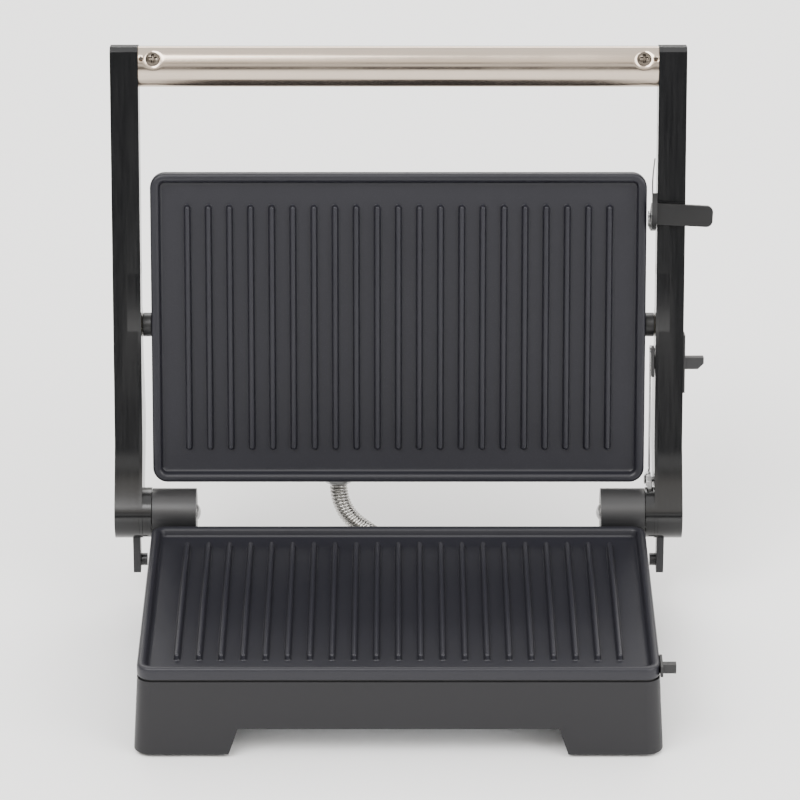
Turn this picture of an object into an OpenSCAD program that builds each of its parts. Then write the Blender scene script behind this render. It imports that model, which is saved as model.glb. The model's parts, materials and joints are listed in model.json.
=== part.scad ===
// Electric panini press with two ribbed plates, shown open.
// Millimetres. +X to the right, +Y to the back, +Z up. The origin is the middle of the
// footprint on the counter. Pieces on the arms are drawn closed, at a distance s from the
// hinge axis and a height h above the line where the plates meet, then swung open.

/* [Plates] */
// Width of each grill plate
plate_w = 235; // [225:1:245]
// Depth of each grill plate, from the hinge side to the handle side
plate_l = 150; // [144:1:156]
// Number of ribs on each plate
rib_count = 21; // [11:2:21]
// Distance between the middles of two ribs
rib_pitch = 10; // [9:0.1:10.4]
// Length of a rib
rib_l = 116; // [90:1:125]
// Width of a rib
rib_w = 2.6; // [2:0.1:4]
// Radius of the plates' corners
corner_r = 7; // [6:0.5:10]

/* [Base] */
// Height of the base housing, from the foot soles to the gasket
wall_h = 35.5; // [34:0.5:38]
// How far the base housing flares out at its foot, on each side
flare = 2; // [1:0.5:2]
// Height of the tunnels between the feet
tunnel_h = 12.6; // [10:0.1:13]
// Thickness of the housings' walls
shell_t = 2.5; // [2:0.1:3]

/* [Upper press] */
// Depth of the upper housing behind the plate line
dome_h = 43; // [42:0.5:43.5]
// Distance of the tilt pivot from the plate line
pivot_h = 11.5; // [11.5:0.5:12]

/* [Arms] */
// Angle between the arms and the base plate
open_deg = 101; // [0:1:180]
// Distance from the plates' edge to the hinge axis
hinge_gap = 14.5; // [14:0.5:18]
// Length of an arm from the hinge axis to its end
arm_l = 224.5; // [220:0.5:230]
// Thickness of an arm, side to side
arm_w = 13.3; // [13:0.1:15]
// Gap between the plate's side and the arm
arm_gap = 4.8; // [4.8:0.1:5.2]

/* [Handle] */
// Height of the oval handle tube
handle_h = 19.4; // [18:0.2:20]
// Depth of the oval handle tube
handle_d = 12.4; // [11:0.2:12.6]

/* [Cable conduit] */
// Outer radius of the steel conduit
conduit_r = 4.4; // [3.8:0.1:4.6]

/* [Hidden] */
$fn = 48;
eps = 0.02;

// heights of the stack from the counter up
pad_h = 1.5;
gasket_h = 1;
rim_h = 5.85;
plate_clear = 0.15;
wall_top = pad_h + wall_h;
axis_z = wall_top + gasket_h + rim_h + plate_clear;
axis_y = plate_l / 2 + hinge_gap;

// grill plate section, measured down from the rim
rim_w = 4;
pan_inset = 4;
floor_depth = 4;
floor_t = 2.6;
rib_drop = 1;
pan_bottom = floor_depth + floor_t;
post_x = 95;
post_y = 54;
post_r = 4.5;
post_l = 11;
wire_r = 1.1;
screw_r = 1.65;

// base
cover_t = 2;
screw_seat_h = 4.9;
screw_head_h = 2.6;
cover_z = pad_h + tunnel_h;
foot_x = 72.3;
foot_y = 30;
foot_slope = 5.1;
pad_x = 98;
pad_y = 66;
pocket_w = 33;
pocket_l = 36;
pocket_y = 53.5;
pad_r = 6.5;
pad_stem_r = 2;
boss_x = 60;
boss_y = 66.5;
shield_t = 1;
shield_drop = pan_bottom + post_l;
shield_inset = 14;
shield_wall_h = 6;
dome_foot = 7.25;
dome_steps = 10;

// hinge
barrel_r = 11.5;
barrel_in = 96.7;
barrel_out = plate_w / 2 + 0.2;
hub_r = 12.3;
collar_r = 12;
pin_r = 3.5;
pin_head_r = 4.3;
bush_r = 5.5;
run_fit = 0.05;

// arms, for the right side
arm_in = plate_w / 2 + arm_gap;
arm_out = arm_in + arm_w;
cover_in_t = 1.5;
bar_x0 = arm_in + cover_in_t + 0.1;
bar_x1 = bar_x0 + 3.5;
arm_shell_t = 2;
kink_s = 33;
tip_h = 13;
root_h = 31;
root_s = 38;
pivot_s = hinge_gap + plate_l / 2;
pivot_bush_r = 6;
trunnion_r = 4;
stub_r = 2.6;
spring_wire_r = 0.65;
pivot_boss_r = 8.5;
bar_end_s = 198;
front_pad_w = 6.5;
arm_screw_h = 6.5;
tail_l = 30;
tail_w = 9;
tail_pin_s = 25;
tail_lean = 11;
arm_screw_s = [52, 118, 185];

// handle
handle_s = arm_l - 0.1 - handle_h / 2;
handle_c = handle_d / 2 + 0.4;
handle_t = 1.2;
handle_screw_x = arm_in - 6.9;
handle_screw_s = 4.2;
handle_slot_x = arm_in - 1.4;

// latch, release slider and stop pawl on the right arm
latch_s = 141;
latch_h = 7;
latch_x0 = arm_in - 2.9;
latch_x1 = arm_in - 0.5;
release_s = 72;
release_travel = 4;
pawl_s = 13;
pawl_h = 13.5;
pawl_x0 = arm_in - 3.2;
pawl_x1 = arm_in - 0.9;
wire_x = arm_in - 2.3;
wire_h = 2;
pull_loop_s = pawl_s + 8;
pull_loop_r = 1.5;

// conduit route
gland_z = 27;
lower_gland_x = -8;
upper_gland_x = -29;
upper_gland_h = 20;
gland_out = 9;
gland_r = 5;
gland_nut_r = 7.5;
gland_nut_h = 4.3;
gland_boss_t = 3.5;
upper_gland_s = 10;
route_pull = 24;
cord_gland_x = 40;

// ---------- shared shapes ----------

module rounded_outline(w, l, r) {
    square([w - 2 * r, l], center = true);
    square([w, l - 2 * r], center = true);
    for (sx = [-1, 1], sy = [-1, 1])
        translate([sx * (w / 2 - r), sy * (l / 2 - r)]) circle(r);
}

module rounded_slab(w, l, r, z0, z1) {
    translate([0, 0, z0]) linear_extrude(z1 - z0) rounded_outline(w, l, r);
}

module at_corners(x, y) {
    for (sx = [-1, 1], sy = [-1, 1]) translate([sx * x, sy * y, 0]) children();
}

module rod(a, b, r) {
    d = b - a;
    run = norm(d);
    translate(a) rotate([0, acos(d[2] / run), atan2(d[1], d[0])]) cylinder(h = run, r = r);
}

function unit(v) = v / norm(v);

// ring of points round p, square to the direction d, counted from across the given side
function ring_round(p, d, across, r, sides) = let (
    u = unit(cross(across, d)),
    v = cross(d, u)
) [for (k = [0 : sides - 1]) p + r * (cos(360 * k / sides) * u + sin(360 * k / sides) * v)];

// closed skin over rings of points that each have the same number of sides
module skin(points, sides) {
    rings = len(points) / sides;
    walls = [for (i = [0 : rings - 2], k = [0 : sides - 1]) let (n = (k + 1) % sides)
        [i * sides + k, i * sides + n, (i + 1) * sides + n, (i + 1) * sides + k]];
    first = [for (k = [sides - 1 : -1 : 0]) k];
    last = [for (k = [0 : sides - 1]) (rings - 1) * sides + k];
    polyhedron(points, concat([first, last], walls));
}

// stiff lead bent at its points, mitred at each bend
module wire(points, r) {
    sides = 8;
    last = len(points) - 1;
    function run(i) = unit(points[i + 1] - points[i]);
    skin([for (i = [0 : last])
        let (d = i == 0 ? run(0) : i == last ? run(last - 1) : unit(run(i - 1) + run(i)))
        each ring_round(points[i], d, [0, 0, 1], r, sides)], sides);
}

// everything inside is drawn closed, with the hinge axis as its X axis
module on_arms() {
    translate([0, axis_y, axis_z]) rotate([-open_deg, 0, 0]) children();
}

// mirrors the right-hand piece to the left when side is -1
module on_side(side) {
    mirror([side < 0 ? 1 : 0, 0, 0]) children();
}

// extrudes an outline drawn as (s, h) from x0 to x1
module side_plate(x0, x1) {
    translate([x0, 0, 0]) rotate([90, 0, 90]) linear_extrude(x1 - x0) mirror([1, 0]) children();
}

module cross_pin(x0, x1, s, h, r) {
    translate([x0, -s, h]) rotate([0, 90, 0]) cylinder(h = x1 - x0, r = r);
}

// ---------- grill plates ----------

module rib() {
    translate([-rib_w / 2, -rib_l / 2]) square([rib_w, rib_l]);
    for (sy = [-1, 1]) translate([0, sy * rib_l / 2]) circle(rib_w / 2);
}

// rim on z = 0, cooking side up
module grill_plate() {
    difference() {
        union() {
            rounded_slab(plate_w, plate_l, corner_r, -rim_h, 0);
            rounded_slab(plate_w - 2 * pan_inset, plate_l - 2 * pan_inset, corner_r - 2,
                -pan_bottom, -rim_h + eps);
            at_corners(post_x, post_y)
                translate([0, 0, -shield_drop]) cylinder(h = post_l + eps, r = post_r);
        }
        rounded_slab(plate_w - 2 * rim_w, plate_l - 2 * rim_w, corner_r - 2, -floor_depth, 1);
        at_corners(post_x, post_y)
            translate([0, 0, -shield_drop - 1]) cylinder(h = post_l - 1, r = screw_r);
    }
    for (i = [0 : rib_count - 1])
        translate([(i - (rib_count - 1) / 2) * rib_pitch, 0, -floor_depth - 0.5])
            linear_extrude(floor_depth - rib_drop + 0.5) rib();
}

module gasket_ring() {
    difference() {
        rounded_slab(plate_w - 2, plate_l - 2, corner_r - 1, -rim_h - gasket_h, -rim_h);
        rounded_slab(plate_w - 2 * pan_inset + 1, plate_l - 2 * pan_inset + 1, corner_r - 2,
            -rim_h - gasket_h - 1, -rim_h + 1);
    }
}

// tubular heater clamped under the pan, its two ends toward the hinge
module heater() {
    half_w = 78;
    front = 48;
    bend = 20;
    back = 58;
    tube = 3.2;
    z = -pan_bottom - tube - 0.05;
    for (sx = [-1, 1]) {
        rod([sx * half_w, bend - front, z], [sx * half_w, back, z], tube);
        rod([sx * half_w, back, z], [sx * half_w, back + 7, z], 1.6);
        translate([sx * (half_w - bend), bend - front, z])
            rotate([0, 0, sx > 0 ? -90 : 180])
                rotate_extrude(angle = 90) translate([bend, 0]) circle(tube);
    }
    rod([bend - half_w, -front, z], [half_w - bend, -front, z], tube);
}

module heat_shield() {
    w = plate_w - 2 * shield_inset;
    l = plate_l - 2 * shield_inset;
    difference() {
        rounded_slab(w, l, 6, -shield_drop - shield_t, -shield_drop + shield_wall_h);
        rounded_slab(w - 2 * shield_t, l - 2 * shield_t, 5, -shield_drop,
            -shield_drop + shield_wall_h + 1);
        at_corners(post_x, post_y)
            translate([0, 0, -shield_drop - 2]) cylinder(h = 4, r = screw_r + 0.6);
    }
}

// screw from the housing's post up into the plate's post, head at head_z
module plate_screws(head_z) {
    at_corners(post_x, post_y) {
        translate([0, 0, head_z - 1]) cylinder(h = -shield_drop + 9 - head_z, r = screw_r - eps);
        translate([0, 0, head_z - screw_head_h]) cylinder(h = screw_head_h, r = 3.6);
    }
}

module thermal_fuse_body() {
    z = -pan_bottom - 2.1;
    rod([-37, 16, z], [-23, 16, z], 2);
    rod([-44, 16, z], [-16, 16, z], 0.5);
}

module in_lower_plate() {
    translate([0, 0, axis_z - plate_clear]) children();
}

module in_upper_plate() {
    on_arms() translate([0, -pivot_s, plate_clear]) mirror([0, 0, 1]) children();
}

// ---------- base ----------

module foot_tunnels() {
    translate([0, plate_l, 0]) rotate([90, 0, 0]) linear_extrude(2 * plate_l)
        polygon([[-foot_x - foot_slope, -1], [foot_x + foot_slope, -1],
            [foot_x, cover_z], [-foot_x, cover_z]]);
    translate([-plate_w, 0, 0]) rotate([90, 0, 90]) linear_extrude(2 * plate_w)
        polygon([[-foot_y - 3, -1], [foot_y + 3, -1], [foot_y, cover_z], [-foot_y, cover_z]]);
}

module base_outer() {
    hull() {
        translate([0, -flare / 2, 0])
            rounded_slab(plate_w + 2 * flare, plate_l + flare, corner_r + 1, pad_h, pad_h + 1);
        rounded_slab(plate_w, plate_l, corner_r, wall_top - 0.5, wall_top);
    }
}

module base_posts() {
    post_top = axis_z - plate_clear - shield_drop - shield_t;
    in_w = plate_w / 2 - shell_t + 1;
    in_l = plate_l / 2 - shell_t + 1;
    z0 = cover_z + cover_t;
    at_corners(post_x, post_y)
        translate([0, 0, z0]) cylinder(h = post_top - z0, r = 6);
    for (sx = [-1, 1], sy = [-1, 1]) {
        translate([sx < 0 ? -in_w : post_x, sy * post_y - 1, z0])
            cube([in_w - post_x, 2, post_top - z0]);
        translate([sx * boss_x - 1.2, sy < 0 ? -in_l : boss_y, z0])
            cube([2.4, in_l - boss_y, post_top - z0 - 0.6]);
    }
    at_corners(boss_x, boss_y)
        translate([0, 0, z0]) cylinder(h = post_top - z0 - 0.6, r = 4);
}

module base_housing() {
    color("dimgray") difference() {
        union() {
            difference() {
                base_outer();
                rounded_slab(plate_w - 2 * shell_t, plate_l - 2 * shell_t, corner_r - 2,
                    cover_z, wall_top + 1);
                foot_tunnels();
                at_corners(pad_x, pocket_y)
                    rounded_slab(pocket_w, pocket_l, 4, pad_h + 2.5, cover_z + 1);
            }
            base_posts();
        }
        at_corners(post_x, post_y) {
            translate([0, 0, cover_z]) cylinder(h = 20, r = screw_r + 0.6);
            translate([0, 0, cover_z]) cylinder(h = screw_seat_h, r = 4.2);
        }
        at_corners(boss_x, boss_y) translate([0, 0, cover_z - 1]) cylinder(h = 9, r = 1.4);
        at_corners(pad_x, pad_y) cylinder(h = pad_h + 4, r = pad_stem_r);
        translate([lower_gland_x, 80, gland_z]) rotate([90, 0, 0])
            cylinder(h = 12, r = gland_r);
        translate([cord_gland_x, 80, gland_z]) rotate([90, 0, 0]) cylinder(h = 12, r = 6);
    }
}

module bottom_cover() {
    color("silver") difference() {
        rounded_slab(plate_w - 2 * shell_t - 0.4, plate_l - 2 * shell_t - 0.4, corner_r - 2.2,
            cover_z, cover_z + cover_t);
        at_corners(boss_x, boss_y) translate([0, 0, cover_z - 1]) cylinder(h = 4, r = 1.8);
        for (i = [-5 : 5])
            translate([i * 9 - 1.5, -14, cover_z - 1]) cube([3, 28, 4]);
    }
}

module cover_screws() {
    color("silver") at_corners(boss_x, boss_y) {
        translate([0, 0, cover_z - 1.8]) cylinder(h = 1.8, r = 3);
        translate([0, 0, cover_z - 0.1]) cylinder(h = 8, r = 1.4 - eps);
    }
}

module foot_pads() {
    color("black") at_corners(pad_x, pad_y) {
        cylinder(h = pad_h, r = pad_r);
        cylinder(h = pad_h + 4, r = pad_stem_r - eps);
    }
}

module lower_grill_plate() {
    color([0.22, 0.22, 0.24]) in_lower_plate() grill_plate();
}

module lower_gasket() {
    color("black") in_lower_plate() gasket_ring();
}

module lower_heater() {
    color("gray") in_lower_plate() heater();
}

module lower_heat_shield() {
    color("silver") in_lower_plate() heat_shield();
}

module lower_plate_screws() {
    head_z = cover_z + screw_seat_h - (axis_z - plate_clear);
    color("silver") in_lower_plate() plate_screws(head_z);
}

module thermostat() {
    color("ivory") in_lower_plate() {
        translate([0, 10, -pan_bottom - 8.5]) cylinder(h = 8.4, r = 8.5);
        for (sx = [-1, 1])
            translate([sx * 11 - 3.5, 7, -pan_bottom - 6]) cube([7, 6, 0.8]);
    }
}

module lower_thermal_fuse() {
    color("tan") in_lower_plate() thermal_fuse_body();
}

module terminal_block() {
    color("ivory") difference() {
        translate([-60, 22, cover_z + cover_t]) cube([34, 16, 8]);
        for (i = [0 : 2])
            translate([-53 + i * 10, 30, cover_z + cover_t + 4]) cylinder(h = 5, r = 2.6);
    }
}

module base_wiring() {
    z = cover_z + cover_t + 2.2;
    color("sienna") for (i = [0 : 2])
        wire([[cord_gland_x - 3 + 3 * i, 66, gland_z - 1.6], [cord_gland_x - 8, 56 - 3 * i, z],
            [-10, 50 - 3 * i, z], [-24.6, 34 - 4 * i, z]], wire_r);
    color("sienna") for (i = [0 : 1])
        wire([[lower_gland_x - 1.4 + 2.8 * i, 66, gland_z - 1], [-22 + 9 * i, 58.5 - 3.5 * i, z],
            [-42 + 8 * i, 39.4, z]], wire_r);
}

// right-hand bracket: barrel on the axis, web down to a flange on the rear wall
module hinge_bracket() {
    rear = plate_l / 2;
    difference() {
        union() {
            translate([barrel_in, axis_y, axis_z]) rotate([0, 90, 0])
                cylinder(h = barrel_out - barrel_in, r = barrel_r);
            translate([barrel_in + 6, 0, 0]) rotate([90, 0, 90])
                linear_extrude(barrel_out - barrel_in - 6)
                    polygon([[rear, pad_h + 17], [rear + 4, pad_h + 17],
                        [axis_y + 9.5, axis_z - 6], [axis_y, axis_z],
                        [axis_y - 8.5, axis_z - 7.5], [rear + 2.5, wall_top - 0.6],
                        [rear, wall_top - 0.6]]);
            translate([barrel_in - 7, rear, pad_h + 17])
                cube([barrel_out - barrel_in + 7, 3, 17.5]);
        }
        translate([barrel_in - 1, axis_y, axis_z]) rotate([0, 90, 0])
            cylinder(h = barrel_out - barrel_in + 2, r = pin_r + eps);
        for (dz = [4, 13.5])
            translate([barrel_in - 2.5, rear - 1, pad_h + 17 + dz]) rotate([-90, 0, 0])
                cylinder(h = 6, r = 1.8);
    }
}

module left_hinge_bracket() {
    color("dimgray") on_side(-1) hinge_bracket();
}

module right_hinge_bracket() {
    color("dimgray") on_side(1) hinge_bracket();
}

module hinge_bracket_screws() {
    color("silver") for (side = [-1, 1], dz = [4, 13.5])
        on_side(side) translate([barrel_in - 2.5, plate_l / 2 + 3, pad_h + 17 + dz])
            rotate([-90, 0, 0]) {
                cylinder(h = 1.8, r = 3);
                translate([0, 0, -3]) cylinder(h = 3 + eps, r = 1.6);
            }
}

module hinge_pin() {
    dome_h = 2;
    dome_r = (pin_head_r * pin_head_r + dome_h * dome_h) / (2 * dome_h);
    translate([barrel_in - eps, axis_y, axis_z]) rotate([0, 90, 0])
        cylinder(h = bar_x1 + 3 - barrel_in, r = pin_r);
    intersection() {
        translate([barrel_in - dome_h + dome_r, axis_y, axis_z]) sphere(dome_r);
        translate([barrel_in - 10, axis_y - 8, axis_z - 8]) cube([10, 16, 16]);
    }
}

module left_hinge_pin() {
    color("silver") on_side(-1) hinge_pin();
}

module right_hinge_pin() {
    color("silver") on_side(1) hinge_pin();
}

module catch_tab() {
    side = plate_w / 2;
    color("gray") {
        translate([side, axis_y - 162, axis_z - 5.7]) cube([1.2, 13, 5]);
        translate([side, axis_y - 159, axis_z - 5.4]) cube([7.2, 3.5, 4.4]);
    }
}

module cord_gland() {
    color("black") translate([cord_gland_x, plate_l / 2, gland_z]) rotate([-90, 0, 0])
        difference() {
            union() {
                translate([0, 0, -7]) cylinder(h = 7.5, r = 6 - eps);
                cylinder(h = 2.5, r = 8.5);
                cylinder(h = 17, r = 6);
                translate([0, 0, -7]) cylinder(h = 4.3, r = 7.5);
            }
            translate([0, 0, -8]) cylinder(h = 26, r = 3.5);
        }
}

// gland with its shoulder on z = 0, the conduit's end on z = gland_out and its nut inside
module conduit_gland(inner_l) {
    difference() {
        union() {
            translate([0, 0, -inner_l]) cylinder(h = inner_l + 1, r = gland_r - eps);
            cylinder(h = 2.5, r = 8);
            cylinder(h = gland_out, r = 6.4);
            translate([0, 0, -inner_l]) cylinder(h = gland_nut_h, r = gland_nut_r);
        }
        translate([0, 0, -inner_l - 1]) cylinder(h = gland_out + inner_l + 2, r = 3);
    }
}

module lower_conduit_gland() {
    color("silver") translate([lower_gland_x, plate_l / 2, gland_z]) rotate([-90, 0, 0])
        conduit_gland(shell_t + gland_nut_h + 0.2);
}

// ---------- conduit ----------

// where a point of the arms' own frame (x, s, h) lies when the arms are open
function swung(x, s, h) = [
    x,
    axis_y - s * cos(open_deg) + h * sin(open_deg),
    axis_z + s * sin(open_deg) + h * cos(open_deg)
];

route_start = [lower_gland_x, plate_l / 2 + gland_out, gland_z];
route_end = swung(upper_gland_x, upper_gland_s, upper_gland_h);
route_mid_a = route_start + [0, route_pull, 0];
route_mid_b = swung(upper_gland_x, upper_gland_s - route_pull, upper_gland_h);

function route(t) =
    pow(1 - t, 3) * route_start + 3 * pow(1 - t, 2) * t * route_mid_a
    + 3 * (1 - t) * t * t * route_mid_b + pow(t, 3) * route_end;
function route_dir(t) = unit(
    t <= 0 ? route_mid_a - route_start
    : t >= 1 ? route_end - route_mid_b
    : route(t + 0.001) - route(t - 0.001));

module conduit(t0, t1) {
    sides = 12;
    spans = 8;
    skin([for (i = [0 : spans]) let (t = t0 + (t1 - t0) * i / spans)
        each ring_round(route(t), route_dir(t), [1, 0, 0], conduit_r, sides)], sides);
}

module lower_conduit() {
    color("silver") conduit(0, 0.5);
}

module upper_conduit() {
    color("silver") conduit(0.5, 1);
}

// ---------- arms ----------

function arm_back(s) = tip_h + (root_h - tip_h)
    * exp(-pow((s - root_s) / (s < root_s ? 22 : 33.5), 2));

// side outline of an arm, drawn d inside its skin
function arm_points(d, end_s) = concat(
    [[5, -(hub_r - d) * 0.91], [kink_s, d], [end_s - d - 2, d], [end_s - d, d + 2],
        [end_s - d, tip_h - d - 3], [end_s - d - 3, tip_h - d]],
    [for (s = [end_s - 15 : -3.5 : 0]) [s, arm_back(s) - d]],
    [[-4, (hub_r - d) * 0.94], [0, 0]]);

// outline of the tail behind the hinge, grown by d
module tail_outline(d = 0) {
    rotate(-tail_lean) translate([-tail_l - d, -tail_w / 2 - d]) square([tail_l + d, tail_w + 2 * d]);
}

module arm_outline(d = 0, end_s = arm_l) {
    polygon(arm_points(d, end_s));
    circle(hub_r - d);
    translate([pivot_s, pivot_h]) circle(pivot_boss_r - d);
}

// low pad on the face turned to the plates, beside the tilt pivot
module front_pad() {
    polygon([[pivot_s - 2, 0.5], [pivot_s, -1], [pivot_s + 26, -1], [pivot_s + 28, 0.5]]);
}

// holes that cross an arm: tilt bush, cover screws and, on the right, the levers
module arm_holes(side, screw_hole_r) {
    cross_pin(arm_in - 1, arm_in + 9.5, pivot_s, pivot_h, pivot_bush_r);
    for (s = arm_screw_s) cross_pin(arm_in - 1, arm_out - 3, s, arm_screw_h, screw_hole_r);
    if (side > 0) {
        cross_pin(arm_in - 1, arm_in + 4, latch_s, latch_h, 2 + eps);
        cross_pin(arm_in - 1, arm_in + 4, pawl_s, pawl_h, 1.5 + eps);
        translate([arm_in - 1, -release_s - release_travel - 3.3, 4.7])
            cube([arm_w + 2, release_travel + 6.6, 3.6]);
    }
}

module arm_shell(side) {
    difference() {
        union() {
            difference() {
                side_plate(arm_in + cover_in_t, arm_out) arm_outline();
                side_plate(arm_in, arm_out - arm_shell_t) arm_outline(arm_shell_t);
            }
            side_plate(arm_in + cover_in_t, arm_in + front_pad_w) front_pad();
            for (s = arm_screw_s)
                cross_pin(bar_x1 + 0.1, arm_out - 1, s, arm_screw_h, 3);
            cross_pin(bar_x1 + 0.1, arm_out - 1, pivot_s, pivot_h, 8);
            cross_pin(bar_x1 + 0.1, arm_out - 1, 0, 0, 8);
            cross_pin(arm_in + cover_in_t, arm_out - 1, handle_s, handle_c, 5.5);
        }
        arm_holes(side, 1.5);
        side_plate(arm_in, bar_x1 + 0.1) tail_outline(0.3);
        cross_pin(arm_in - 1, bar_x1 + 3.2, 0, 0, bush_r);
        cross_pin(arm_in - 1, bar_x1 + 2, handle_s, handle_c, 4);
    }
}

module arm_cover(side) {
    difference() {
        union() {
            side_plate(arm_in, arm_in + cover_in_t) {
                arm_outline();
                front_pad();
            }
            cross_pin(barrel_out + 0.3, arm_in + eps, 0, 0, collar_r);
        }
        arm_holes(side, 1.7);
        for (s = arm_screw_s) cross_pin(arm_in - 1, arm_in + 0.9, s, arm_screw_h, 2.8);
        cross_pin(arm_in, arm_in + 5, 0, 0, bush_r);
        cross_pin(barrel_out, arm_in + 1, 0, 0, pin_r + 0.3);
        cross_pin(arm_in - 1, arm_in + 5, handle_s, handle_c, 4);
        if (side > 0)
            translate([pawl_x0 - 0.4, -collar_r - 1, -4.4])
                cube([pawl_x1 - pawl_x0 + 0.8, collar_r + 1, 6.8]);
    }
}

module arm_bar(side) {
    difference() {
        side_plate(bar_x0, bar_x1) {
            intersection() {
                arm_outline(3);
                translate([-20, -20]) square([bar_end_s + 20, 80]);
            }
            tail_outline();
        }
        arm_holes(side, 1.7);
        cross_pin(arm_in - 1, bar_x1 + 1, 0, 0, bush_r);
    }
    rotate([tail_lean, 0, 0]) cross_pin(arm_in - 1.5, bar_x0 + eps, -tail_pin_s, 0, 3);
}

module hub_bush() {
    difference() {
        cross_pin(arm_in, bar_x1 + 3.2, 0, 0, bush_r - eps);
        cross_pin(arm_in - 1, bar_x1 + 5, 0, 0, pin_r + run_fit);
    }
}

module pivot_bush() {
    difference() {
        cross_pin(arm_in, arm_in + 9.5, pivot_s, pivot_h, pivot_bush_r - eps);
        cross_pin(arm_in - 1, arm_in + 10, pivot_s, pivot_h, trunnion_r + run_fit);
    }
}

module left_arm_shell() {
    color([0.08, 0.08, 0.09]) on_arms() on_side(-1) arm_shell(-1);
}

module right_arm_shell() {
    color([0.08, 0.08, 0.09]) on_arms() on_side(1) arm_shell(1);
}

module left_arm_cover() {
    color([0.1, 0.1, 0.11]) on_arms() on_side(-1) arm_cover(-1);
}

module right_arm_cover() {
    color([0.1, 0.1, 0.11]) on_arms() on_side(1) arm_cover(1);
}

module left_arm_bar() {
    color("gray") on_arms() on_side(-1) arm_bar(-1);
}

module right_arm_bar() {
    color("gray") on_arms() on_side(1) arm_bar(1);
}

module left_hub_bush() {
    color("ivory") on_arms() on_side(-1) hub_bush();
}

module right_hub_bush() {
    color("ivory") on_arms() on_side(1) hub_bush();
}

module left_pivot_bush() {
    color("ivory") on_arms() on_side(-1) pivot_bush();
}

module right_pivot_bush() {
    color("ivory") on_arms() on_side(1) pivot_bush();
}

module arm_cover_screws() {
    color("silver") on_arms() for (side = [-1, 1], s = arm_screw_s) on_side(side) {
        cross_pin(arm_in, arm_in + 0.9, s, arm_screw_h, 2.8 - eps);
        cross_pin(arm_in + 0.8, arm_out - 3.5, s, arm_screw_h, 1.5 - eps);
    }
}

// ---------- handle ----------

function oval(a, b) = [for (k = [0 : 47]) [a * cos(7.5 * k), b * sin(7.5 * k)]];

// point on the handle's front, and the lean of its skin there
handle_screw_h = -handle_d / 2 * sqrt(1 - pow(handle_screw_s / (handle_h / 2), 2));
handle_lean = atan2(handle_screw_s / pow(handle_h / 2, 2),
    -handle_screw_h / pow(handle_d / 2, 2));

module at_handle_screws(x) {
    for (side = [-1, 1])
        translate([side * x, -handle_s - handle_screw_s, handle_c + handle_screw_h])
            rotate([-handle_lean, 0, 0]) children();
}

module handle_tube() {
    color("silver") on_arms() difference() {
        translate([0, -handle_s, handle_c]) side_plate(-arm_in, arm_in)
            difference() {
                polygon(oval(handle_h / 2, handle_d / 2));
                polygon(oval(handle_h / 2 - handle_t, handle_d / 2 - handle_t));
            }
        at_handle_screws(handle_screw_x) translate([0, 0, -3]) cylinder(h = 6, r = 1.8);
        at_handle_screws(handle_slot_x) translate([0, 0, -3]) cylinder(h = 6, r = 1.1);
    }
}

module handle_insert() {
    difference() {
        union() {
            translate([0, -handle_s, handle_c]) side_plate(arm_in - 20, arm_in - 0.1)
                polygon(oval(handle_h / 2 - handle_t - 0.1, handle_d / 2 - handle_t - 0.1));
            cross_pin(arm_in - 1, bar_x1 + 1.9, handle_s, handle_c, 4 - eps);
        }
        at_handle_screws(handle_screw_x) translate([0, 0, -2]) cylinder(h = 9, r = 1.6);
    }
}

module left_handle_insert() {
    color("black") on_arms() on_side(-1) handle_insert();
}

module right_handle_insert() {
    color("black") on_arms() on_side(1) handle_insert();
}

module handle_screws() {
    color("silver") on_arms() at_handle_screws(handle_screw_x) {
        translate([0, 0, -1.75]) cylinder(h = 1.75, r = 3.2);
        translate([0, 0, -0.1]) cylinder(h = 6, r = 1.6 - eps);
    }
}

// ---------- upper press ----------

// how far the dome's side has drawn in at a share t of its depth
function dome_inset(t) = 1.5 + 9.5 * t + 6 * pow(t, 4) + 5 * (1 - sqrt(1 - pow(t, 8)));

module dome_shape(shrink, top) {
    hull() for (i = [0 : dome_steps]) {
        t = sin(90 * i / dome_steps);
        z = dome_foot + (top - dome_foot) * t;
        inset = 2 * (dome_inset(t) + shrink);
        rounded_slab(plate_w - inset, plate_l - inset, corner_r + 10 * t, z - 0.2, z);
    }
}

module in_upper_press() {
    on_arms() translate([0, -pivot_s, 0]) children();
}

module upper_housing() {
    post_z = plate_clear + shield_drop + shield_t;
    gland_y = pivot_s - upper_gland_s - gland_out;
    color("dimgray") in_upper_press() difference() {
        union() {
            difference() {
                dome_shape(0, dome_h);
                translate([0, 0, -eps]) dome_shape(shell_t, dome_h - shell_t);
            }
            intersection() {
                at_corners(post_x, post_y) translate([0, 0, post_z])
                    cylinder(h = dome_h, r = 5.5);
                dome_shape(shell_t / 2, dome_h - shell_t / 2);
            }
            translate([upper_gland_x, gland_y, upper_gland_h]) rotate([90, 0, 0])
                cylinder(h = gland_boss_t, r = gland_nut_r + 1.5);
        }
        at_corners(post_x, post_y) {
            cylinder(h = dome_h + 1, r = screw_r + 0.6);
            translate([0, 0, post_z + 5]) cylinder(h = dome_h, r = 4.2);
        }
        translate([upper_gland_x, gland_y + 1, upper_gland_h]) rotate([90, 0, 0])
            cylinder(h = 16, r = gland_r);
        translate([upper_gland_x, gland_y - gland_boss_t, upper_gland_h]) rotate([90, 0, 0])
            cylinder(h = 8, r = gland_nut_r + 0.2);
        translate([upper_gland_x, gland_y + 6, upper_gland_h]) rotate([90, 0, 0])
            cylinder(h = 6, r = gland_nut_r + 0.7);
        for (side = [-1, 1]) on_side(side)
            translate([plate_w / 2 - 8, 0, pivot_h]) rotate([0, 90, 0])
                cylinder(h = 12, r = trunnion_r);
        for (side = [-1, 1])
            translate([side * 11, -38, dome_h - 8]) cylinder(h = 9, r = 3);
    }
}

module upper_grill_plate() {
    color([0.26, 0.26, 0.29]) in_upper_plate() grill_plate();
}

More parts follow.
